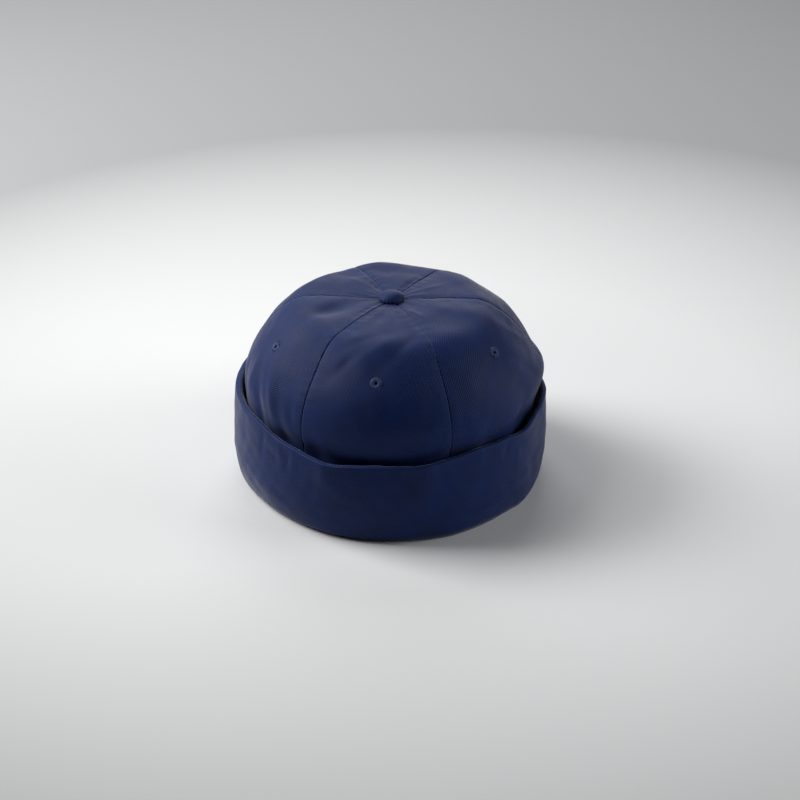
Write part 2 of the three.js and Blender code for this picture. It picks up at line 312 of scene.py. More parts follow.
# Greyer navy of rubbed edges: wear, and on the cuff's rim also a painted highlight.
NAVY_RUBBED_AND_LIT = (0.006, 0.028, 0.120, 1)
SHEEN_TINT = (1.0, 0.97, 1.0, 1)
FULL_TURN = 2 * math.pi


def cloud(tree, place, scale, detail=2.0):
    sockets = {"Vector": place, "Scale": scale, "Detail": detail}
    return Wire.node(tree, "ShaderNodeTexNoise", {}, sockets)


def twill_material():
    material = new_material("navy_twill")
    tree = material.node_tree
    place = Wire.node(tree, "ShaderNodeUVMap", {"uv_map": "cloth"})
    sideways = Wire.node(tree, "ShaderNodeSeparateXYZ", {}, {"Vector": place})
    across = sideways / MM
    along = sideways.out("Y") / MM
    drift = (cloud(tree, place, BROAD_WAVER_SCALE) - 0.5) * BROAD_WAVER
    waver = (cloud(tree, place, YARN_WAVER_SCALE) - 0.5) * YARN_WAVER + drift
    rib_turn = FULL_TURN / (RIB_PITCH * math.sqrt(2))
    float_turn = FULL_TURN / (FLOAT_PITCH * math.sqrt(2))
    rib = ((across + along) * rib_turn + waver).math("SINE") * 0.5 + 0.5
    float_phase = (across - along * FLOAT_SLANT) * float_turn + waver * FLOAT_WAVER
    floats = float_phase.math("SINE") * 0.5 + 0.5
    mottle = cloud(tree, place, MOTTLE_SCALE, MOTTLE_DETAIL)
    slub = cloud(tree, place, SLUB_SCALE)
    yarn = rib * (1 - FLOAT_SHARE) + rib * floats * FLOAT_SHARE
    uneven = mottle - 0.5
    lumpy = slub - 0.5
    # The ribs paint shade into their valleys and a highlight onto raised yarn; mottle and slubs are
    # uneven dye.
    tone = yarn * TONE_OF_YARN + uneven * TONE_OF_MOTTLE + lumpy * TONE_OF_SLUB - TONE_DROP
    # Rubbed edges turn greyer: wear, and on the cuff's rim also a painted highlight where the fold
    # catches the light.
    rub = Wire.node(tree, "ShaderNodeAttribute", {"attribute_name": "rub"}).out("Fac")
    worn_and_lit = rub * (yarn * RUB_AND_HIGHLIGHT_OF_YARN + uneven * RUB_AND_HIGHLIGHT_OF_MOTTLE + RUB_AND_HIGHLIGHT_LEAST)
    color = mix_color(worn_and_lit, mix_color(tone, NAVY_DEEP, NAVY_RAISED), NAVY_RUBBED_AND_LIT)
    height = yarn + lumpy * HEIGHT_OF_SLUB + uneven * HEIGHT_OF_MOTTLE
    relief = {"Height": height, "Distance": WEAVE_DEPTH, "Strength": WEAVE_STRENGTH}
    normal = Wire.node(tree, "ShaderNodeBump", {}, relief)
    sockets = {
        "Base Color": color,
        "Roughness": mottle * ROUGHNESS_SPREAD + ROUGHNESS_LEAST,
        "Normal": normal,
        "Specular IOR Level": CLOTH_GLOSS,
        "Sheen Weight": CLOTH_SHEEN,
        "Sheen Roughness": CLOTH_SHEEN_SPREAD,
        "Sheen Tint": SHEEN_TINT,
    }
    return finish_material(material, sockets)


twill = twill_material()
print("material:", twill.name, len(twill.node_tree.nodes), "nodes")

# %% [markdown]
# ## Navy thread
#
# The eyelets and the seams are sewn in thread of the same dye. Thread is twisted and a little
# glossier than the cloth. A fine noise on Object coordinates stands for the twist, because each
# stitch is far too small for its own pattern.

# %% Thread finish
THREAD_DEEP = (0.006, 0.020, 0.090, 1)
THREAD_BRIGHT = (0.026, 0.058, 0.200, 1)
FIBRE_SCALE = 2600.0
FIBRE_DEPTH = 0.1 * MM
FIBRE_STRENGTH = 0.5
DYE_SCALE = 160.0
TONE_OF_FIBRE = 0.7
TONE_OF_DYE = 0.5
THREAD_TONE_DROP = 0.1
THREAD_GLOSS = 0.35
THREAD_SHEEN = 0.3
THREAD_SHEEN_SPREAD = 0.4


def thread_material():
    material = new_material("navy_thread")
    tree = material.node_tree
    place = Wire.node(tree, "ShaderNodeTexCoord").out("Object")
    fibre = cloud(tree, place, FIBRE_SCALE)
    dye = cloud(tree, place, DYE_SCALE)
    tone = fibre * TONE_OF_FIBRE + dye * TONE_OF_DYE - THREAD_TONE_DROP
    relief = {"Height": fibre, "Distance": FIBRE_DEPTH, "Strength": FIBRE_STRENGTH}
    sockets = {
        "Base Color": mix_color(tone, THREAD_DEEP, THREAD_BRIGHT),
        "Roughness": fibre * ROUGHNESS_SPREAD + ROUGHNESS_LEAST,
        "Normal": Wire.node(tree, "ShaderNodeBump", {}, relief),
        "Specular IOR Level": THREAD_GLOSS,
        "Sheen Weight": THREAD_SHEEN,
        "Sheen Roughness": THREAD_SHEEN_SPREAD,
        "Sheen Tint": SHEEN_TINT,
    }
    return finish_material(material, sockets)


thread = thread_material()
print("material:", thread.name)

# %% [markdown]
# ## The shape of the crown
#
# The six panels differ in width but follow one profile, a smooth curve from the middle of the top
# down to the hem. A place on the crown is given by its bearing, which is the angle round the cap
# from the front, and by the way down along the profile. Puffed panels, folds and hollows then
# lift the cloth along the profile's normal, and a shift that fades out down the sides leans the
# top a little back. Each fold is one row of a table: a soft bump or hollow with its own place,
# half sizes and turn. Sculpting by hand would do too, but a table can be corrected a millimetre
# at a time.

# %% Profile and folds
PANEL_PUFF = 1.5
SEWN_GAP = 0.18
CROWN_LEAN = 4.6
CROWN_LEAN_REACH = 55
CROWN_PROFILE = np.array([
    (0, 118.0),
    (38, 118.6),
    (61.5, 115.2),
    (80, 98.6),
    (90.2, 81),
    (92.6, 66),
    (91, 42),
    (90, 14),
])
PROFILE_SAMPLES = 4001

Fold = namedtuple("Fold", "bearing along across length turn rise")
CROWN_FOLDS = [
    Fold(-64, 38, 8, 16, 12, -2.9),
    Fold(58, 52, 11, 15, 18, -1.7),
    Fold(72, 40, 6, 16, 12, 0.8),
    Fold(-8.5, 30, 4, 9, 0, -0.9),
    Fold(-6, 56, 5, 17, -45, -0.55),
    Fold(6, 69, 5, 18, -45, -0.8),
    Fold(-48, 106, 4.5, 17, 20, 1.5),
    Fold(-41, 124, 4.5, 12, 20, -0.9),
    Fold(-56, 118, 5, 15, 18, -1.7),
    Fold(77, 101, 4.5, 12, 45, -0.9),
    Fold(100, 115, 34, 10, 0, 6.6),
    Fold(116, 86, 26, 15, 0, 2.4),
    Fold(145, 61, 17, 16, 0, 1.4),
    Fold(-138, 48, 8, 9, 0, -1.4),
    Fold(-162, 65, 12, 16, 0, 1.7),
    Fold(170, 60, 10, 14, 0, -0.8),
    Fold(178, 104, 9, 16, -10, -1.5),
]


def spline(points, shares):
    """Places on a smooth curve through the points, at shares from 0 to 1 of their number."""
    last = len(points) - 1
    spot = np.clip(shares, 0, 1) * last
    start = np.minimum(spot.astype(int), last - 1)
    t = (spot - start).reshape(-1, *[1] * (points.ndim - 1))
    here = points[start]
    there = points[start + 1]
    leave = (there - points[np.maximum(start - 1, 0)]) / 2
    arrive = (points[np.minimum(start + 2, last)] - here) / 2
    bend = 3 * (there - here) - 2 * leave - arrive
    twist = 2 * (here - there) + leave + arrive
    return here + t * (leave + t * (bend + t * twist))


profile = spline(CROWN_PROFILE, np.linspace(0, 1, PROFILE_SAMPLES))
profile_steps = np.linalg.norm(np.diff(profile, axis=0), axis=1)
profile_along = np.concatenate([[0], np.cumsum(profile_steps)])
profile_slope = np.gradient(profile, profile_along, axis=0)
CROWN_LENGTH = profile_along[-1]


def profile_at(along):
    """Radius, height and the slope of both, at a way down the crown."""
    columns = (profile[:, 0], profile[:, 1], profile_slope[:, 0], profile_slope[:, 1])
    return [np.interp(along, profile_along, column) for column in columns]


def fold_lift(folds, bearing, along, radius):
    """How far a table of folds lifts the cloth at each place, with bearings in degrees."""
    lift = np.zeros_like(radius)
    for fold in folds:
        turn = (bearing - fold.bearing + 180) % 360 - 180
        sideways = np.radians(turn) * radius
        lengthways = along - fold.along
        lean = math.radians(fold.turn)
        across = (sideways * math.cos(lean) - lengthways * math.sin(lean)) / fold.across
        length = (sideways * math.sin(lean) + lengthways * math.cos(lean)) / fold.length
        lift = lift + fold.rise * np.exp(-across ** 2 - length ** 2)
    return lift


def at_bearing(bearing, radius, height):
    turn = np.radians(bearing)
    return np.stack([radius * np.sin(turn), -radius * np.cos(turn), height], axis=-1)


print("crown profile:", round(CROWN_LENGTH, 1), "mm from the middle to the hem")

# %% [markdown]
# ## Seams, gathers and slack
#
# Where two panels are sewn together the cloth rolls into a narrow valley. Under it the seam
# allowances are pressed apart, so a flat band stands up a little on each side, and the thread
# pulls small puckers into it. Near the button the cloth is gathered. Just above the rim of the
# cuff the crown tucks in, which leaves a dark gap. A second table holds these tucks, the narrow
# creases and two small corrections at the right, all of which the solids leave out. A cloth
# simulation would make slack of its own, but not where the real cap has it. Here smooth random
# waves, made from a few plane waves with a fixed seed, give the slack of unpressed cotton.

# %% Small relief of the crown
SEAM_VALLEY = 0.35
SEAM_VALLEY_WIDTH = 0.35
ALLOWANCE = 6.0
ALLOWANCE_RISE = 0.12
ALLOWANCE_EDGE = 0.7
PUCKER_RISE = 0.10
PUCKER_PITCH = 7.5
PUCKER_REACH = 6.0
PUCKER_DRIFT = 2.2
PUCKER_DRIFT_ALONG = 11
PUCKER_DRIFT_AROUND = 9
GATHER_RISE = 0.11
GATHERS = 17
GATHER_SWAY = 1.7
GATHER_SWAYS = 3
GATHER_ALONG = 15.0
GATHER_REACH = 8.0
SLACK = [(30.0, 0.26), (13.0, 0.10)]
SLACK_SEED = 3
WAVE_SPREAD = (0.7, 1.5)

SMALL_FOLDS = [
    Fold(-146, 20, 2.2, 9, 0, -0.7),
    Fold(-134, 34, 3.0, 9, 0, 0.5),
    Fold(-100, 22, 2.4, 8, 0, -0.5),
    Fold(-38, 24, 1.8, 8, 8, -0.5),
    Fold(-24, 30, 2.0, 8, 0, -0.4),
    Fold(14, 26, 2.0, 8, -10, -0.5),
    Fold(22, 36, 2.2, 8, 0, 0.4),
    Fold(40, 27, 2.0, 8, 10, 0.5),
    Fold(100, 24, 2.4, 9, 0, -0.5),
    Fold(128, 30, 2.4, 9, 0, 0.4),
    Fold(158, 26, 2.4, 9, 0, -0.6),
    Fold(-15, 60, 3.2, 11, -50, -0.5),
    Fold(-17, 76, 3.2, 10, -35, -0.5),
    Fold(1, 60, 3.0, 12, -50, 0.45),
    Fold(16, 58, 2.6, 10, -50, -0.4),
    Fold(-36, 112, 2.6, 9, 15, -0.6),
    Fold(-50, 90, 3.4, 12, 15, -0.5),
    Fold(-66, 108, 4.0, 14, 10, 0.8),
    Fold(-74, 116, 4.0, 14, 5, -0.9),
    Fold(66, 126, 5.0, 12, -20, -0.9),
    Fold(40, 122, 5.0, 12, 20, 0.6),
    Fold(88, 86, 4.0, 12, 30, 0.5),
    Fold(106, 98, 20.0, 6, 0, 1.0),
    Fold(100, 110, 30.0, 5, 0, -1.6),
    Fold(-37, 134, 13.0, 7, 0, -2.2),
    Fold(-24, 137, 9.0, 8, 0, -1.8),
    Fold(0, 138, 24.0, 6, 0, -1.6),
    Fold(30, 136, 12.0, 6, 0, -2.4),
    Fold(45, 134, 9.0, 5, 0, -1.6),
    Fold(72, 131, 10.0, 6, 0, -2.6),
]


def plane_waves(points, length, seed, count=9):
    """A smooth random field over points, between about -1 and 1, with waves of about one length."""
    draws = np.random.default_rng(seed)
    total = np.zeros(points.shape[:-1])
    for _ in range(count):
        way = draws.normal(size=3)
        way = way / np.linalg.norm(way)
        pitch = length * draws.uniform(*WAVE_SPREAD)
        total = total + np.sin(points @ way * FULL_TURN / pitch + draws.uniform(0, FULL_TURN))
    return total / math.sqrt(count)


def seam_relief(to_seam, along, bearing):
    """The valley at a seam, its pressed allowances and the puckers beside it."""
    valley = -SEAM_VALLEY * np.exp(-(to_seam / SEAM_VALLEY_WIDTH) ** 2)
    band = ALLOWANCE_RISE / (1 + np.exp((to_seam - ALLOWANCE) / ALLOWANCE_EDGE))
    drift = PUCKER_DRIFT * np.sin(along / PUCKER_DRIFT_ALONG + bearing / PUCKER_DRIFT_AROUND)
    pucker = PUCKER_RISE * np.sin(along * FULL_TURN / PUCKER_PITCH + drift)
    return valley + band + pucker * np.exp(-(to_seam / PUCKER_REACH) ** 2)


def gathers(along, bearing):
    """Radial creases where the panels' tips are drawn in under the button."""
    turn = np.radians(bearing)
    wave = np.sin(turn * GATHERS + GATHER_SWAY * np.sin(turn * GATHER_SWAYS))
    return GATHER_RISE * wave * np.exp(-((along - GATHER_ALONG) / GATHER_REACH) ** 2)


def crown_place(panel, side, along, inset=0.0, dressed=True):
    """Places on one panel: side is -1 and 1 at its two seams, and inset goes into the cloth."""
    radius, height, slope_out, slope_up = profile_at(along)
    half_turn = panel.half - np.degrees(SEWN_GAP / 2 / radius)
    bearing = panel.middle + side * half_turn
    lift = PANEL_PUFF * (1 - side ** 2) * np.sin(math.pi * along / CROWN_LENGTH)
    lift = lift + fold_lift(CROWN_FOLDS + SMALL_FOLDS, bearing, along, radius) - inset
    for number, (length, rise) in enumerate(SLACK):
        seed = SLACK_SEED + number
        lift = lift + rise * plane_waves(at_bearing(bearing, radius, height), length, seed)
    if dressed:
        to_seam = (1 - np.abs(side)) * np.radians(half_turn) * radius
        lift = lift + seam_relief(to_seam, along, bearing) + gathers(along, bearing)
    places = at_bearing(bearing, radius - slope_up * lift, height + slope_out * lift)
    places[..., 1] += CROWN_LEAN * np.exp(-(along / CROWN_LEAN_REACH) ** 2)
    return places


print("folds:", len(CROWN_FOLDS), "large and", len(SMALL_FOLDS), "small")

# %% [markdown]
# ## The six panels
#
# Each panel lies between two seams and has its own eyelet. The seams aren't evenly spaced on the
# real cap, so a table gives the bearings of both seams and of the eyelet, and the eyelet's way
# down from the top. One panel turned six times would be shorter, but its seams would miss.

# %% Table of panels
Panel = namedtuple("Panel", "name middle half eyelet_side eyelet_drop")


def panel_between(name, first_seam, last_seam, eyelet_bearing, eyelet_drop):
    """A panel by the bearings of its two seams and of its eyelet."""
    middle = (first_seam + last_seam) / 2
    half = (last_seam - first_seam) / 2
    return Panel(name, middle, half, (eyelet_bearing - middle) / half, eyelet_drop)


PANELS = [
    panel_between("front", -30, 29.5, -0.5, 84.5),
    panel_between("front_right", 29.5, 100, 62, 81),
    panel_between("back_right", 100, 153, 130, 88),
    panel_between("back", 153, 208, 180.5, 84),
    panel_between("back_left", 208, 265.5, 236.5, 84),
    panel_between("front_left", 265.5, 330, 300.5, 82.5),
]
print("panels:", ", ".join(panel.name for panel in PANELS))

# %% [markdown]
# ## The cloth of the panels
#
# A panel is a grid of places on the crown, with narrow columns near its seams, where the cloth
# bends most. A round hole is left for the eyelet: the points inside it go, and those beside it
# move onto the circle. The same grid a cloth's thickness further in is the inner side, and walls
# join both along every open edge. A Solidify modifier would do that too, but it would also copy
# the seam valleys to the inside. The grid's own flat coordinates, in metres, become the UV map
# that the weave is drawn on.

# %% Panel grids
CLOTH_WALL = 1.6
PANEL_TIP = 4.0
PANEL_ROWS = 142
PANEL_MIDDLE_COLUMNS = 45
SEAM_COLUMNS = [0, 0.25, 0.5, 0.8, 1.2, 1.7, 2.4, 3.1, 3.8, 4.2, 4.6, 5.0, 5.4, 6.0, 7.0, 8.4, 10]
EYELET_HOLE = 2.5


def panel_sides(panel):
    """Columns from -1 to 1, close together near the seams."""
    widest = np.radians(panel.half) * profile[:, 0].max()
    right = 1 - np.array(SEAM_COLUMNS) / widest
    middle = np.linspace(-right[-1], right[-1], PANEL_MIDDLE_COLUMNS + 2)[1:-1]
    return np.concatenate([-right, middle, right[::-1]])


def grid_quads(rows, columns):
    first = np.arange(rows - 1)[:, None] * columns + np.arange(columns - 1)[None, :]
    first = first.ravel()
    return np.stack([first, first + columns, first + columns + 1, first + 1], axis=1)


def open_edges(quads):
    """Edges with a face on one side only, each in the direction its face goes round."""
    edges = np.concatenate([quads[:, [k, (k + 1) % 4]] for k in range(4)])
    known = {tuple(edge) for edge in edges.tolist()}
    return np.array([edge for edge in edges.tolist() if (edge[1], edge[0]) not in known])


def cloth_mesh(name, points, faces, places, rub):
    """A mesh in metres from points in millimetres, with its flat coordinates and its greyer edges of
    wear and painted highlight.
    """
    mesh = bpy.data.meshes.new(name)
    mesh.from_pydata((points * MM).tolist(), [], faces.tolist())
    corners = np.empty(len(mesh.loops), dtype=np.int32)
    mesh.loops.foreach_get("vertex_index", corners)
    layer = mesh.uv_layers.new(name="cloth")
    layer.data.foreach_set("uv", (places[corners] * MM).astype(np.float32).ravel())
    wear_and_highlight = mesh.attributes.new("rub", "FLOAT", "POINT")
    wear_and_highlight.data.foreach_set("value", rub.astype(np.float32))
    mesh.shade_smooth()
    mesh.materials.append(twill)
    piece = bpy.data.objects.new(name, mesh)
    bpy.context.scene.collection.objects.link(piece)
    return piece


def cloth_panel(panel):
    sides = panel_sides(panel)
    rows = np.linspace(PANEL_TIP, CROWN_LENGTH, PANEL_ROWS)
    side = np.tile(sides, len(rows))
    along = np.repeat(rows, len(sides))
    half_width = np.radians(panel.half) * profile_at(along)[0]
    quads = grid_quads(len(rows), len(sides))
    off_side = side - panel.eyelet_side
    off_along = along - panel.eyelet_drop
    away = np.hypot(off_side * half_width, off_along)
    pierced = (away[quads] < EYELET_HOLE).any(axis=1)
    ring = np.setdiff1d(quads[pierced], np.nonzero(away < EYELET_HOLE)[0])
    pull = EYELET_HOLE / away[ring]
    side[ring] = panel.eyelet_side + off_side[ring] * pull
    along[ring] = panel.eyelet_drop + off_along[ring] * pull
    quads = quads[~pierced]
    outside = crown_place(panel, side, along)
    inside = crown_place(panel, side, along, inset=CLOTH_WALL, dressed=False)
    count = len(outside)
    rim = open_edges(quads)
    walls = np.stack([rim[:, 1], rim[:, 0], rim[:, 0] + count, rim[:, 1] + count], axis=1)
    faces = np.concatenate([quads, quads[:, ::-1] + count, walls])
    used = np.unique(faces)
    slot = np.full(2 * count, -1)
    slot[used] = np.arange(len(used))
    points = np.concatenate([outside, inside])[used]
    places = np.tile(np.stack([side * half_width, along], axis=1), (2, 1))[used]
    return cloth_mesh(f"cloth_panel_{panel.name}", points, slot[faces], places, np.zeros(len(points)))


panels = {panel.name: cloth_panel(panel) for panel in PANELS}
for name, piece in panels.items():
    print(name, "panel:", len(piece.data.polygons), "faces")

# %% [markdown]
# ## The cuff
#
# The cuff is one band of doubled cloth. It hangs from the hem of the crown, folds under at the
# floor, and is turned up outside the crown with a soft fold at its rim. A ring swept along a
# circle would look moulded, so its sizes come from a table of bearings: rim height and radius,
# waist and foot, and how far the rim rolls inwards. The rim has loose corners at the front and
# hugs the crown at the left. The same kind of fold table as on the crown adds its puckers.

# %% Sizes of the cuff
HEAD_RADIUS = 88
BAND_WALL = 2.0
CUFF_WALL = 2.4
CUFF_SOLE = 2.2
CUFF_HEEL_LEVEL = 0.1
CUFF_HEEL_SWELL = 0.62
CUFF_WAIST_LEVEL = 0.42
CUFF_CORNER_EASE = 2.5
CUFF_FOLD_EASE = 1.0
RIM_ROLL_REACH = 3.0
RIM_WAVER = 0.3
RIM_WAVER_LENGTH = 14.0
RIM_WAVER_SEED = 21
# How much and how far down the cuff's rim turns greyer: wear and a painted highlight on its fold.
RIM_RUB_AND_HIGHLIGHT = 0.6
RIM_RUB_AND_HIGHLIGHT_REACH = 1.6
BAND_TOP = 13.7
CUFF_SECTIONS = 480
CUFF_OUTSIDE_POINTS = 42
CUFF_RIM_POINTS = 9
CUFF_WITHIN_POINTS = 28
CUFF_WITHIN_END = 2 / 7
CUFF_UNDER_POINTS = 4
CUFF_REFERENCE_RADIUS = 100

CuffRow = namedtuple("CuffRow", "bearing rim_height rim_radius waist_radius foot_radius roll")
CUFF_SHAPE = [
    CuffRow(-160, 62, 98.5, 100.2, 94, 1.0),
    CuffRow(-130, 63, 98.6, 100.6, 94.5, 1.2),
    CuffRow(-104, 63.5, 100.6, 102, 95, 2.0),
    CuffRow(-88, 62, 100.2, 102.2, 95, 2.2),
    CuffRow(-69, 61.5, 98.6, 101.4, 94.2, 1.6),
    CuffRow(-54, 61.4, 98.4, 99.8, 92.4, 1.2),
    CuffRow(-46, 58.8, 97.8, 99.7, 92, 1.0),
    CuffRow(-38, 57.4, 97.6, 99.6, 92, 1.0),
    CuffRow(-28, 55.2, 98.6, 100, 92.8, 1.2),
    CuffRow(-19, 53.2, 101.6, 100.6, 93.6, 1.4),
    CuffRow(-9, 53.6, 99.2, 100.2, 94.2, 1.4),
    CuffRow(1, 53.7, 98, 100.2, 94.6, 1.4),
    CuffRow(10, 53.8, 98.8, 100.4, 95, 1.4),
    CuffRow(18, 54.4, 101, 100.6, 95.6, 1.4),
    CuffRow(28, 56, 97.8, 100.4, 96.4, 1.0),
    CuffRow(41, 57.4, 97.6, 100, 95, 1.0),
    CuffRow(56, 57.6, 100, 100, 94.2, 1.0),
    CuffRow(64, 57, 101, 100.8, 96.4, 0.8),
    CuffRow(76, 58.2, 99.2, 100.4, 95, 0.6),
    CuffRow(88, 60, 99.8, 100.4, 94.6, 0.5),
    CuffRow(97, 59, 100, 100.4, 94.4, 0.5),
    CuffRow(110, 59, 99.4, 100.3, 94.2, 0.5),
    CuffRow(130, 59.5, 98.4, 100, 94, 0.8),
    CuffRow(165, 62, 98.5, 100.4, 94.4, 1.0),
]
CUFF_FOLDS = [
    Fold(-48, 50, 2.4, 8, 8, -0.5),
    Fold(-43.5, 47, 5.0, 2.0, 0, -0.5),
    Fold(-38, 49, 2.0, 7, -6, 0.4),
    Fold(-34, 46, 1.8, 6, 8, -0.45),
    Fold(-31.5, 48, 2.0, 5, 0, 0.3),
    Fold(-22, 44, 4.0, 12, 10, -0.5),
    Fold(-62, 50, 5.0, 14, 10, -0.4),
    Fold(24, 46, 4.0, 12, -10, -0.6),
    Fold(40, 52, 3.0, 6, -12, 0.4),
    Fold(52, 51, 2.4, 5, 10, -0.5),
    Fold(58, 40, 5.0, 16, 0, 0.4),
    Fold(70, 22, 6.0, 16, -15, -0.8),
    Fold(110, 44, 6.0, 16, 10, -0.6),
    Fold(148, 46, 5.0, 15, -10, -0.6),
    Fold(-120, 46, 5.0, 15, 8, -0.6),
    Fold(-150, 44, 6.0, 16, -8, 0.5),
]
CUFF_SLACK = [(34.0, 0.35), (12.0, 0.12)]
CUFF_SLACK_SEED = 11
CUFF_SETTLE = 0.3
CUFF_JOIN = 180
CUFF_JOIN_DEPTH = 0.9
CUFF_JOIN_WIDTH = 0.9


def cuff_size(column, bearing):
    """One size of the cuff at each bearing: straight between the table's rows, with eased corners."""
    known = [row.bearing for row in CUFF_SHAPE]
    sizes = [getattr(row, column) for row in CUFF_SHAPE]
    shifts = (-CUFF_CORNER_EASE, 0, 0, CUFF_CORNER_EASE)
    return sum(np.interp(bearing + shift, known, sizes, period=360) for shift in shifts) / 4


def rim_height(bearing):
    """The height of the rim with its small unevenness."""
    spots = at_bearing(bearing, np.full_like(bearing, CUFF_REFERENCE_RADIUS), 0 * bearing)
    waver = plane_waves(spots, RIM_WAVER_LENGTH, RIM_WAVER_SEED)
    return cuff_size("rim_height", bearing) + RIM_WAVER * waver


print("cuff table:", len(CUFF_SHAPE), "bearings and", len(CUFF_FOLDS), "folds")

# %% [markdown]
# ## The section of the cuff
#
# Cut through anywhere, the cuff is a hook: up the outside to the rim, over it, down behind it,
# under, and up again as the band inside. Four sizes of the table bend its outside, and the same
# curve a wall further in is its inner side. The whole ring is made at once, with one column of
# places for each bearing.

# %% Section of the cuff
def straight_run(corners, steps):
    """Places along straight lines through corners, without the last corner."""
    shares = np.linspace(0, 1, steps, endpoint=False)[:, None, None]
    return np.concatenate([a + (b - a) * shares for a, b in zip(corners[:-1], corners[1:])])


def cuff_sections(bearing):
    """The cuff's hook-shaped section at each bearing: out and up, over the rim, down and under."""
    top = rim_height(bearing)
    rim = cuff_size("rim_radius", bearing)
    waist = cuff_size("waist_radius", bearing)
    foot = cuff_size("foot_radius", bearing)
    heel = foot + (waist - foot) * CUFF_HEEL_SWELL
    half = CUFF_WALL / 2
    turn_up = np.stack([
        np.stack([foot, 0 * top], axis=-1),
        np.stack([heel, CUFF_HEEL_LEVEL * top], axis=-1),
        np.stack([waist, CUFF_WAIST_LEVEL * top], axis=-1),
        np.stack([rim, top - half], axis=-1),
    ])
    outside = spline(turn_up, np.linspace(0, 1, CUFF_OUTSIDE_POINTS))
    bend = np.linspace(0, math.pi, CUFF_RIM_POINTS)[1:-1, None]
    swell = cuff_size("roll", bearing)
    wide = half + swell / 2
    over = np.stack([rim - wide + wide * np.cos(bend), top - half + half * np.sin(bend)], axis=-1)
    within = spline(turn_up, np.linspace(1, CUFF_WITHIN_END, CUFF_WITHIN_POINTS))
    roll = swell * np.exp(-((top - half - within[..., 1]) / RIM_ROLL_REACH) ** 2)
    within[..., 0] = within[..., 0] - CUFF_WALL - roll
    band = HEAD_RADIUS + BAND_WALL
    ease = CUFF_FOLD_EASE
    inner_corners = [
        (band + ease, CUFF_SOLE),
        (band, CUFF_SOLE + ease),
        (band, BAND_TOP - ease / 2),
        (band - ease / 2, BAND_TOP),
        (HEAD_RADIUS + ease / 2, BAND_TOP),
        (HEAD_RADIUS, BAND_TOP - ease / 2),
        (HEAD_RADIUS, ease),
        (HEAD_RADIUS + ease, 0),
    ]
    ones = np.ones_like(top)
    corners = [within[-1]]
    corners += [np.stack([radius * ones, height * ones], axis=-1) for radius, height in inner_corners]
    corners += [outside[0]]
    under = straight_run(corners, CUFF_UNDER_POINTS)[1:]
    loose = len(outside) + len(over) + len(within)
    return np.concatenate([outside, over, within, under]), loose


cuff_bearing = np.linspace(-180, 180, CUFF_SECTIONS, endpoint=False)
cuff_section, cuff_loose = cuff_sections(cuff_bearing)
cuff_count = len(cuff_section)
print("cuff section:", cuff_count, "points,", cuff_loose, "of them on the turned-up part")

# %% [markdown]
# ## The cloth of the cuff
#
# Folds, slack and the join at the back move the turned-up part in and out, and fade out towards
# the floor, where the cuff stands. Then the columns are joined into one closed skin. Its flat
# coordinates start at the join, so that the weave runs on round the cap.

# %% Cloth of the cuff
def dent_cuff(bearing, section, loose):
    """Moves the turned-up part of the sections by the cuff's folds, slack and join."""
    radius = section[:loose, :, 0]
    height = section[:loose, :, 1]
    top = rim_height(bearing)
    around = np.broadcast_to(bearing, radius.shape)
    lift = fold_lift(CUFF_FOLDS, around, height, radius)
    for number, (length, rise) in enumerate(CUFF_SLACK):
        level = at_bearing(around, np.full_like(radius, CUFF_REFERENCE_RADIUS), height)
        lift = lift + rise * plane_waves(level, length, CUFF_SLACK_SEED + number)
    from_join = np.radians((around - CUFF_JOIN + 180) % 360 - 180) * CUFF_REFERENCE_RADIUS
    lift = lift - CUFF_JOIN_DEPTH * np.exp(-(from_join / CUFF_JOIN_WIDTH) ** 2)
    settle = np.clip(height / (CUFF_SETTLE * top), 0, 1)
    section[:loose, :, 0] = radius + lift * settle ** 2 * (3 - 2 * settle)


def cloth_cuff():
    """The ring of sections as one closed skin, with flat coordinates that start at its join."""
    ring = np.arange(CUFF_SECTIONS)[:, None] * cuff_count
    after = (np.arange(CUFF_SECTIONS)[:, None] + 1) % CUFF_SECTIONS * cuff_count
    k = np.arange(cuff_count)[None, :]
    k_next = (k + 1) % cuff_count
    faces = np.stack([ring + k, after + k, after + k_next, ring + k_next], axis=-1).reshape(-1, 4)
    middle = cuff_section.mean(axis=1)
    path = np.linalg.norm(np.diff(np.vstack([middle, middle[:1]]), axis=0), axis=1)
    down = np.concatenate([[0], np.cumsum(path)])
    step = math.radians(360 / CUFF_SECTIONS) * CUFF_REFERENCE_RADIUS
    column = np.arange(CUFF_SECTIONS)[:, None] + 0 * k
    u = np.stack([column, column + 1, column + 1, column], axis=-1) * step
    v = np.stack([down[k], down[k], down[k + 1], down[k + 1]], axis=-1) + 0 * u
    # The rim's top is made greyer, as wear and as a painted highlight where its fold catches the
    # light.
    top = rim_height(cuff_bearing)
    below_rim = (top[None, :] - cuff_section[:, :, 1]).T.ravel()
    rub = RIM_RUB_AND_HIGHLIGHT * np.exp(-(below_rim / RIM_RUB_AND_HIGHLIGHT_REACH) ** 2)
    radius = cuff_section[:, :, 0].T
    points = at_bearing(cuff_bearing[:, None], radius, cuff_section[:, :, 1].T).reshape(-1, 3)
    piece = cloth_mesh("cloth_cuff", points, faces, np.zeros((len(points), 2)), rub)
    flat = np.stack([u, -v], axis=-1).reshape(-1, 2) * MM
    piece.data.uv_layers["cloth"].data.foreach_set("uv", flat.astype(np.float32).ravel())
    return piece


dent_cuff(cuff_bearing, cuff_section, cuff_loose)
cuff = cloth_cuff()
print("cuff:", len(cuff.data.polygons), "faces")

# %% [markdown]
# ## Growing pieces with Geometry Nodes
#
# The button, the stitches and the eyelets follow rules, so node trees grow them. Each tree gets
# named inputs for its sizes. The helper below sets them by identifier, reads the grown mesh back
# and keeps it as a plain mesh, because an export knows nothing of modifiers.

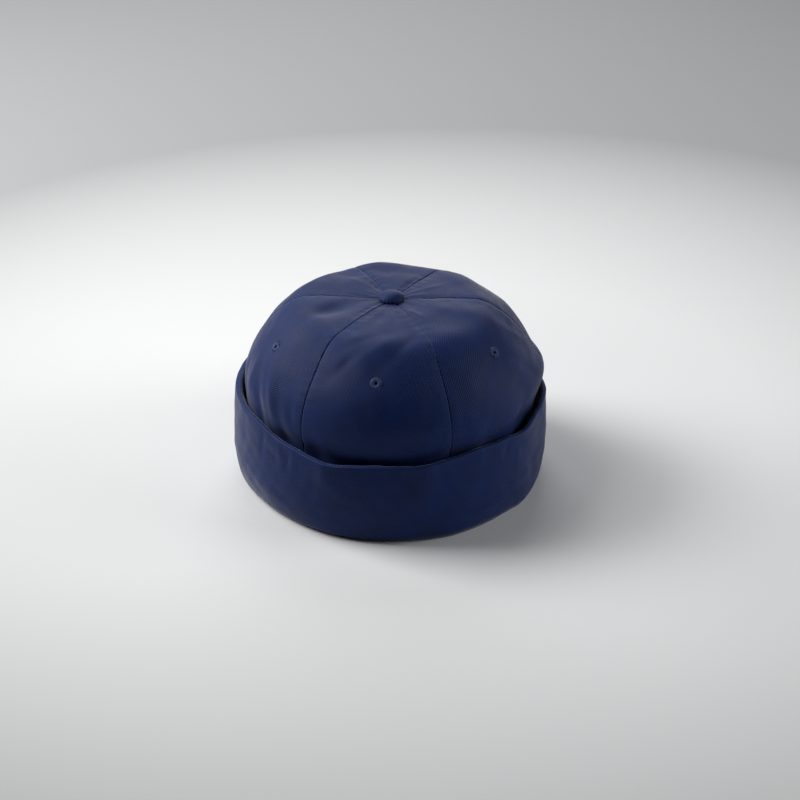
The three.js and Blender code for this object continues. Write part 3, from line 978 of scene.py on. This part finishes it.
# %% Geometry Nodes helpers
def geometry_tree(name, inputs):
    """A new tree with a geometry input, the given number inputs and a geometry output."""
    tree = bpy.data.node_groups.new(name, "GeometryNodeTree")
    tree.interface.new_socket("Geometry", in_out="INPUT", socket_type="NodeSocketGeometry")
    for label, kind in inputs.items():
        tree.interface.new_socket(label, in_out="INPUT", socket_type=kind)
    tree.interface.new_socket("Geometry", in_out="OUTPUT", socket_type="NodeSocketGeometry")
    return tree, Wire.node(tree, "NodeGroupInput")


def end_tree(tree, geometry, material):
    """Closes a tree: real geometry instead of instances, its material, and the output."""
    real = Wire.node(tree, "GeometryNodeRealizeInstances", {}, {"Geometry": geometry})
    painted = Wire.node(tree, "GeometryNodeSetMaterial", {}, {"Geometry": real, "Material": material})
    Wire.node(tree, "NodeGroupOutput", {}, {"Geometry": painted})


def grow(name, mesh, tree, sizes):
    """Runs a tree on a mesh and returns a plain object with the result."""
    seed = bpy.data.objects.new(name + "_seed", mesh)
    bpy.context.scene.collection.objects.link(seed)
    modifier = seed.modifiers.new(name, "NODES")
    modifier.node_group = tree
    for item in tree.interface.items_tree:
        if item.in_out == "INPUT" and item.name in sizes:
            modifier[item.identifier] = sizes[item.name]
    graph = bpy.context.evaluated_depsgraph_get()
    grown = bpy.data.meshes.new_from_object(seed.evaluated_get(graph))
    grown.name = name
    bpy.data.objects.remove(seed)
    piece = bpy.data.objects.new(name, grown)
    bpy.context.scene.collection.objects.link(piece)
    grown.shade_smooth()
    return piece


def combine(x, y, z):
    """A vector of three parts, of which the last is a wire."""
    return Wire.node(z.tree, "ShaderNodeCombineXYZ", {}, {"X": x, "Y": y, "Z": z})


def random_number(tree, least, most, seed):
    """A number between two limits that differs from one instance to the next."""
    sockets = {2: least, 3: most, "Seed": seed}
    return Wire.node(tree, "FunctionNodeRandomValue", {"data_type": "FLOAT"}, sockets, output=1)


print("ready to grow pieces")

# %% [markdown]
# ## The button
#
# A cap's top button is a small metal shell covered in the same twill, clinched under the crown.
# Its shape is a turned one. A Screw modifier could turn an outline, but a flat grid that is bent
# round can be gathered in the same step: its columns become the turn, and its rows run over the
# top, round the edge, and down the plain post. Two curves give the radius and the height. Shallow
# gathers are added towards the edge, where the round of cloth is drawn in.

# %% Button
BUTTON_RADIUS = 8.1 * MM
BUTTON_RISE = 5.2 * MM
BUTTON_SEAT = 118.5 * MM
BUTTON_FOOT = 3.5 * MM
BUTTON_COLUMNS = 97
BUTTON_ROWS = 56
BUTTON_GATHERS = 22
BUTTON_GATHER_DEPTH = 0.16 * MM
BUTTON_GATHER_DOWN = 0.55
BUTTON_GATHER_SPREAD = 0.16
BUTTON_JOIN_REACH = 0.02 * MM
BUTTON_RUB = 0.12
BUTTON_RADIUS_CURVE = [
    (0, 0), (0.18, 0.36), (0.36, 0.70), (0.52, 0.95), (0.60, 1.0), (0.66, 0.97), (0.70, 0.86),
    (0.78, 0.44), (0.86, 0.44), (0.90, 0.71), (0.95, 0.71), (1, 0),
]
BUTTON_HEIGHT_CURVE = [
    (0, 1.0), (0.18, 0.97), (0.36, 0.85), (0.52, 0.62), (0.60, 0.50), (0.66, 0.425), (0.70, 0.404),
    (0.78, 0.404), (0.86, 0.13), (0.90, 0.11), (0.95, 0.0), (1, 0),
]


def button_tree():
    kinds = {"Radius": "NodeSocketFloat", "Height": "NodeSocketFloat", "Depth": "NodeSocketFloat"}
    tree, given = geometry_tree("covered_button", kinds)
    grid_size = {"Vertices X": BUTTON_COLUMNS, "Vertices Y": BUTTON_ROWS, "Size X": 1.0, "Size Y": 1.0}
    grid = Wire.node(tree, "GeometryNodeMeshGrid", {}, grid_size)
    place = Wire.node(tree, "GeometryNodeInputPosition")
    split = Wire.node(tree, "ShaderNodeSeparateXYZ", {}, {"Vector": place})
    turn = (split + 0.5) * FULL_TURN
    down = 0.5 - split.out("Y")
    out = Wire.node(tree, "ShaderNodeFloatCurve", {"curve": BUTTON_RADIUS_CURVE}, {"Value": down})
    up = Wire.node(tree, "ShaderNodeFloatCurve", {"curve": BUTTON_HEIGHT_CURVE}, {"Value": down})
    drawn = ((down - BUTTON_GATHER_DOWN) / BUTTON_GATHER_SPREAD).math("POWER", 2.0)
    gather = (turn * BUTTON_GATHERS).math("SINE") * given.out("Depth") * (drawn * -1).math("EXPONENT")
    radius = out * given.out("Radius") + gather
    aside = radius * turn.math("SINE")
    behind = radius * turn.math("COSINE") * -1
    bent_place = combine(aside, behind, up * given.out("Height"))
    bending = {"Geometry": grid, "Position": bent_place}
    bent = Wire.node(tree, "GeometryNodeSetPosition", {}, bending)
    joining = {"Geometry": bent, "Distance": BUTTON_JOIN_REACH}
    closed = Wire.node(tree, "GeometryNodeMergeByDistance", {}, joining)
    end_tree(tree, closed, twill)
    return tree


def cloth_button():
    total = BUTTON_RISE + BUTTON_FOOT
    sizes = {"Radius": BUTTON_RADIUS, "Height": total, "Depth": BUTTON_GATHER_DEPTH}
    piece = grow("cloth_button", bpy.data.meshes.new("button_seed"), button_tree(), sizes)
    shift = np.array([0, CROWN_LEAN * MM, BUTTON_SEAT - BUTTON_FOOT])
    points = np.array([vertex.co for vertex in piece.data.vertices]) + shift
    piece.data.vertices.foreach_set("co", points.astype(np.float32).ravel())
    corners = np.empty(len(piece.data.loops), dtype=np.int32)
    piece.data.loops.foreach_get("vertex_index", corners)
    layer = piece.data.uv_layers.new(name="cloth")
    layer.data.foreach_set("uv", points[corners][:, :2].astype(np.float32).ravel())
    wear_and_highlight = piece.data.attributes.new("rub", "FLOAT", "POINT")
    wear_and_highlight.data.foreach_set("value", np.full(len(points), BUTTON_RUB, dtype=np.float32))
    return piece


button = cloth_button()
print("button:", len(button.data.polygons), "faces")

# %% [markdown]
# ## Seam stitches
#
# The thread that joins two panels lies at the bottom of the seam's valley, where only a close look
# finds it. Stitches could be drawn into the weave, but real ones keep their shape from any side.
# A row is a line laid along the seam, and each point of it knows the cloth's normal. The tree
# steps along the line, puts a small rounded stitch at every step, turns it along the line and
# lays it flat between the two edges.

# %% Stitches in the seams
STITCH_PITCH = 2.6 * MM
STITCH_LENGTH = 2.3 * MM
STITCH_THICK = 0.5 * MM
STITCH_FLATNESS = 0.8
STITCH_SEGMENTS = 6
STITCH_RINGS = 5
STITCH_SHORTEST = 0.9
STITCH_LONGEST = 1.1
STITCH_SEED = 5
STITCH_SINK = 0.15
ROW_STEP = 1.5
ROW_START = 10.0
ROW_END = 3.0


def stitch_lines():
    """Points, normals and edges of all the stitch rows, in metres."""
    along = np.arange(ROW_START, CROWN_LENGTH - ROW_END, ROW_STEP)
    points = []
    normals = []
    edges = []
    for panel in PANELS:
        edge = np.ones_like(along)
        outer = crown_place(panel, edge, along, inset=STITCH_SINK)
        inner = crown_place(panel, edge, along, inset=STITCH_SINK + 1)
        first = len(points) * len(along)
        edges += [(first + k, first + k + 1) for k in range(len(along) - 1)]
        points.append(outer * MM)
        normals.append(outer - inner)
    return np.concatenate(points), np.concatenate(normals), edges


def stitch_tree():
    kinds = {"Pitch": "NodeSocketFloat", "Length": "NodeSocketFloat", "Thickness": "NodeSocketFloat"}
    tree, given = geometry_tree("stitch_row", kinds)
    line = Wire.node(tree, "GeometryNodeMeshToCurve", {}, {"Mesh": given.out("Geometry")})
    stepping = {"Curve": line, "Length": given.out("Pitch")}
    steps = Wire.node(tree, "GeometryNodeCurveToPoints", {"mode": "LENGTH"}, stepping)
    vector = {"data_type": "FLOAT_VECTOR"}
    facing = Wire.node(tree, "GeometryNodeInputNamedAttribute", vector, {"Name": "cloth_normal"})
    lengthways = {"Vector": steps.out("Tangent")}
    along = Wire.node(tree, "FunctionNodeAlignRotationToVector", {"axis": "X"}, lengthways)
    flat_turn = {"axis": "Z", "pivot_axis": "X"}
    flat = {"Rotation": along, "Vector": facing}
    laid = Wire.node(tree, "FunctionNodeAlignRotationToVector", flat_turn, flat)
    bead_size = {"Segments": STITCH_SEGMENTS, "Rings": STITCH_RINGS, "Radius": 0.5}
    bead = Wire.node(tree, "GeometryNodeMeshUVSphere", {}, bead_size)
    jitter = random_number(tree, STITCH_SHORTEST, STITCH_LONGEST, STITCH_SEED)
    thick = given.out("Thickness")
    size = combine(given.out("Length") * jitter, thick, thick * STITCH_FLATNESS)
    placing = {"Points": steps, "Instance": bead, "Rotation": laid, "Scale": size}
    placed = Wire.node(tree, "GeometryNodeInstanceOnPoints", {}, placing)
    end_tree(tree, placed, thread)
    return tree


def seam_stitches():
    points, normals, edges = stitch_lines()
    mesh = bpy.data.meshes.new("stitch_lines")
    mesh.from_pydata(points.tolist(), edges, [])
    facing = mesh.attributes.new("cloth_normal", "FLOAT_VECTOR", "POINT")
    facing.data.foreach_set("vector", normals.astype(np.float32).ravel())
    sizes = {"Pitch": STITCH_PITCH, "Length": STITCH_LENGTH, "Thickness": STITCH_THICK}
    return grow("seam_stitches", mesh, stitch_tree(), sizes)


stitches = seam_stitches()
print("seam stitches:", len(stitches.data.polygons), "faces")

# %% [markdown]
# ## Eyelets
#
# Each panel has an embroidered vent: thread wound over a bead round a small hole. A ridged ring
# could pass for it from far off, but real threads catch the light one by one. The base is a
# turned ring with a barrel through the cloth. Over it the tree sets a few dozen bent threads, one
# beside the other round the ring, each a little different in size and turn, with a fixed seed.

# %% Eyelets of wound thread
EYELET_RADIUS = 3.75 * MM
EYELET_BORE = 1.05 * MM
EYELET_BARREL = 2.2 * MM
EYELET_BACK_RADIUS = 3.2 * MM
EYELET_BACK_DEPTH = 3.1 * MM
EYELET_BACK_WALL = 0.8 * MM
EYELET_BEAD = 0.5 * MM
EYELET_LIFT = 0.05 * MM
EYELET_EDGE = 0.2 * MM
EYELET_OUTER_SLOPE = 0.5 * MM
EYELET_INNER_SLOPE = 0.3 * MM
EYELET_BORE_DEPTH = 0.4 * MM
EYELET_SHOULDER = 0.4
EYELET_CREST = 0.7
EYELET_SIDES = 32
THREAD_COUNT = 44
THREAD_RADIUS = 0.17 * MM
THREAD_SIDES = 5
THREAD_STEPS = 6
THREAD_ARCH = 1.5
THREAD_INNER_DIP = 0.4 * MM
THREAD_OUTER_DIP = 0.3 * MM
THREAD_SWAY = 0.05
THREAD_SHORTEST = 0.94
THREAD_LONGEST = 1.05


def eyelet_base():
    """The ring that the thread is wound on, as a turned mesh about Z."""
    back = -EYELET_BACK_DEPTH
    middle = (EYELET_RADIUS + EYELET_BORE) / 2
    shoulder = EYELET_LIFT + EYELET_BEAD * EYELET_SHOULDER
    profile_points = [
        (EYELET_BORE, back),
        (EYELET_BACK_RADIUS, back),
        (EYELET_BACK_RADIUS, back + EYELET_BACK_WALL),
        (EYELET_BARREL, back + EYELET_BACK_WALL),
        (EYELET_BARREL, EYELET_LIFT),
        (EYELET_RADIUS - EYELET_EDGE, EYELET_LIFT),
        (EYELET_RADIUS - EYELET_OUTER_SLOPE, shoulder),
        (middle, EYELET_LIFT + EYELET_BEAD * EYELET_CREST),
        (EYELET_BORE + EYELET_INNER_SLOPE, shoulder),
        (EYELET_BORE, EYELET_LIFT - EYELET_BORE_DEPTH),
    ]
    count = len(profile_points)
    turns = np.linspace(0, FULL_TURN, EYELET_SIDES, endpoint=False)
    points = [(r * math.cos(a), r * math.sin(a), z) for a in turns for r, z in profile_points]
    faces = []
    for turn in range(EYELET_SIDES):
        here = turn * count
        after = (turn + 1) % EYELET_SIDES * count
        for k in range(count):
            following = (k + 1) % count
            faces.append((here + k, after + k, after + following, here + following))
    mesh = bpy.data.meshes.new("eyelet_base")
    mesh.from_pydata(points, [], faces)
    return mesh


def eyelet_tree():
    kinds = {
        "Threads": "NodeSocketInt",
        "Outer": "NodeSocketFloat",
        "Bore": "NodeSocketFloat",
        "Bead": "NodeSocketFloat",
        "Lift": "NodeSocketFloat",
        "Thread": "NodeSocketFloat",
        "Seed": "NodeSocketInt",
    }
    tree, given = geometry_tree("wound_eyelet", kinds)
    outer = given.out("Outer")
    bore = given.out("Bore")
    bead = given.out("Bead")
    lift = given.out("Lift")
    arch = lift + bead * THREAD_ARCH
    bend = {
        "Resolution": THREAD_STEPS,
        "Start": combine(bore, 0, lift - THREAD_INNER_DIP),
        "Start Handle": combine(bore, 0, arch),
        "End Handle": combine(outer, 0, arch),
        "End": combine(outer, 0, lift - THREAD_OUTER_DIP),
    }
    line = Wire.node(tree, "GeometryNodeCurvePrimitiveBezierSegment", {}, bend)
    thickness = {"Resolution": THREAD_SIDES, "Radius": given.out("Thread")}
    section = Wire.node(tree, "GeometryNodeCurvePrimitiveCircle", {"mode": "RADIUS"}, thickness)
    sweep = {"Curve": line, "Profile Curve": section, "Fill Caps": True}
    wound = Wire.node(tree, "GeometryNodeCurveToMesh", {}, sweep)
    spacing = {"Count": given.out("Threads"), "Offset": (0, 0, 0)}
    spots = Wire.node(tree, "GeometryNodeMeshLine", {"mode": "OFFSET"}, spacing)
    number = Wire.node(tree, "GeometryNodeInputIndex")
    sway = random_number(tree, -THREAD_SWAY, THREAD_SWAY, given.out("Seed"))
    reach = random_number(tree, THREAD_SHORTEST, THREAD_LONGEST, given.out("Seed"))
    turn = number * FULL_TURN / given.out("Threads") + sway
    placing = {
        "Points": spots,
        "Instance": wound,
        "Rotation": combine(0, 0, turn),
        "Scale": combine(reach, reach, reach),
    }
    placed = Wire.node(tree, "GeometryNodeInstanceOnPoints", {}, placing)
    joined = Wire.node(tree, "GeometryNodeJoinGeometry", {}, {"Geometry": given.out("Geometry")})
    tree.links.new(placed.socket, joined.socket.node.inputs["Geometry"])
    end_tree(tree, joined, thread)
    return tree


wound_tree = eyelet_tree()


def eyelet_seat(panel):
    """The middle of an eyelet's hole on the cloth, and the way it faces."""
    spot = (np.array([panel.eyelet_side]), np.array([float(panel.eyelet_drop)]))
    outer = crown_place(panel, *spot)[0]
    inner = crown_place(panel, *spot, inset=CLOTH_WALL)[0]
    return Vector(outer * MM), Vector(outer - inner).normalized()


def thread_eyelet(number, panel):
    sizes = {
        "Threads": THREAD_COUNT,
        "Outer": EYELET_RADIUS,
        "Bore": EYELET_BORE,
        "Bead": EYELET_BEAD,
        "Lift": EYELET_LIFT,
        "Thread": THREAD_RADIUS,
        "Seed": number,
    }
    piece = grow(f"thread_eyelet_{panel.name}", eyelet_base(), wound_tree, sizes)
    middle, facing = eyelet_seat(panel)
    placing = facing.to_track_quat("Z", "Y").to_matrix().to_4x4()
    placing.translation = middle
    piece.data.transform(placing)
    return piece


eyelets = {panel.name: thread_eyelet(number, panel) for number, panel in enumerate(PANELS)}
for name, piece in eyelets.items():
    print(name, "eyelet:", len(piece.data.polygons), "faces")

# %% [markdown]
# ## What each piece is
#
# Every piece rides on the part's one body, and all but the stitches stand for a solid, which is
# hidden. A panel's flat shape is a gore, as long as the profile and as wide as its share of the
# crown, and the cuff's is a plain strip.


for panel in PANELS:
    piece = panels[panel.name]
    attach(piece, "root")
    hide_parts(f"crown_panel_{panel.name}")

for name, piece in eyelets.items():
    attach(piece, "root")
    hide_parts(f"eyelet_{name}")

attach(cuff, "root")
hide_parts("cuff")

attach(button, "root")
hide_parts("button")

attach(stitches, "root")
print("declared:", len(panels) + len(eyelets) + 3, "pieces")
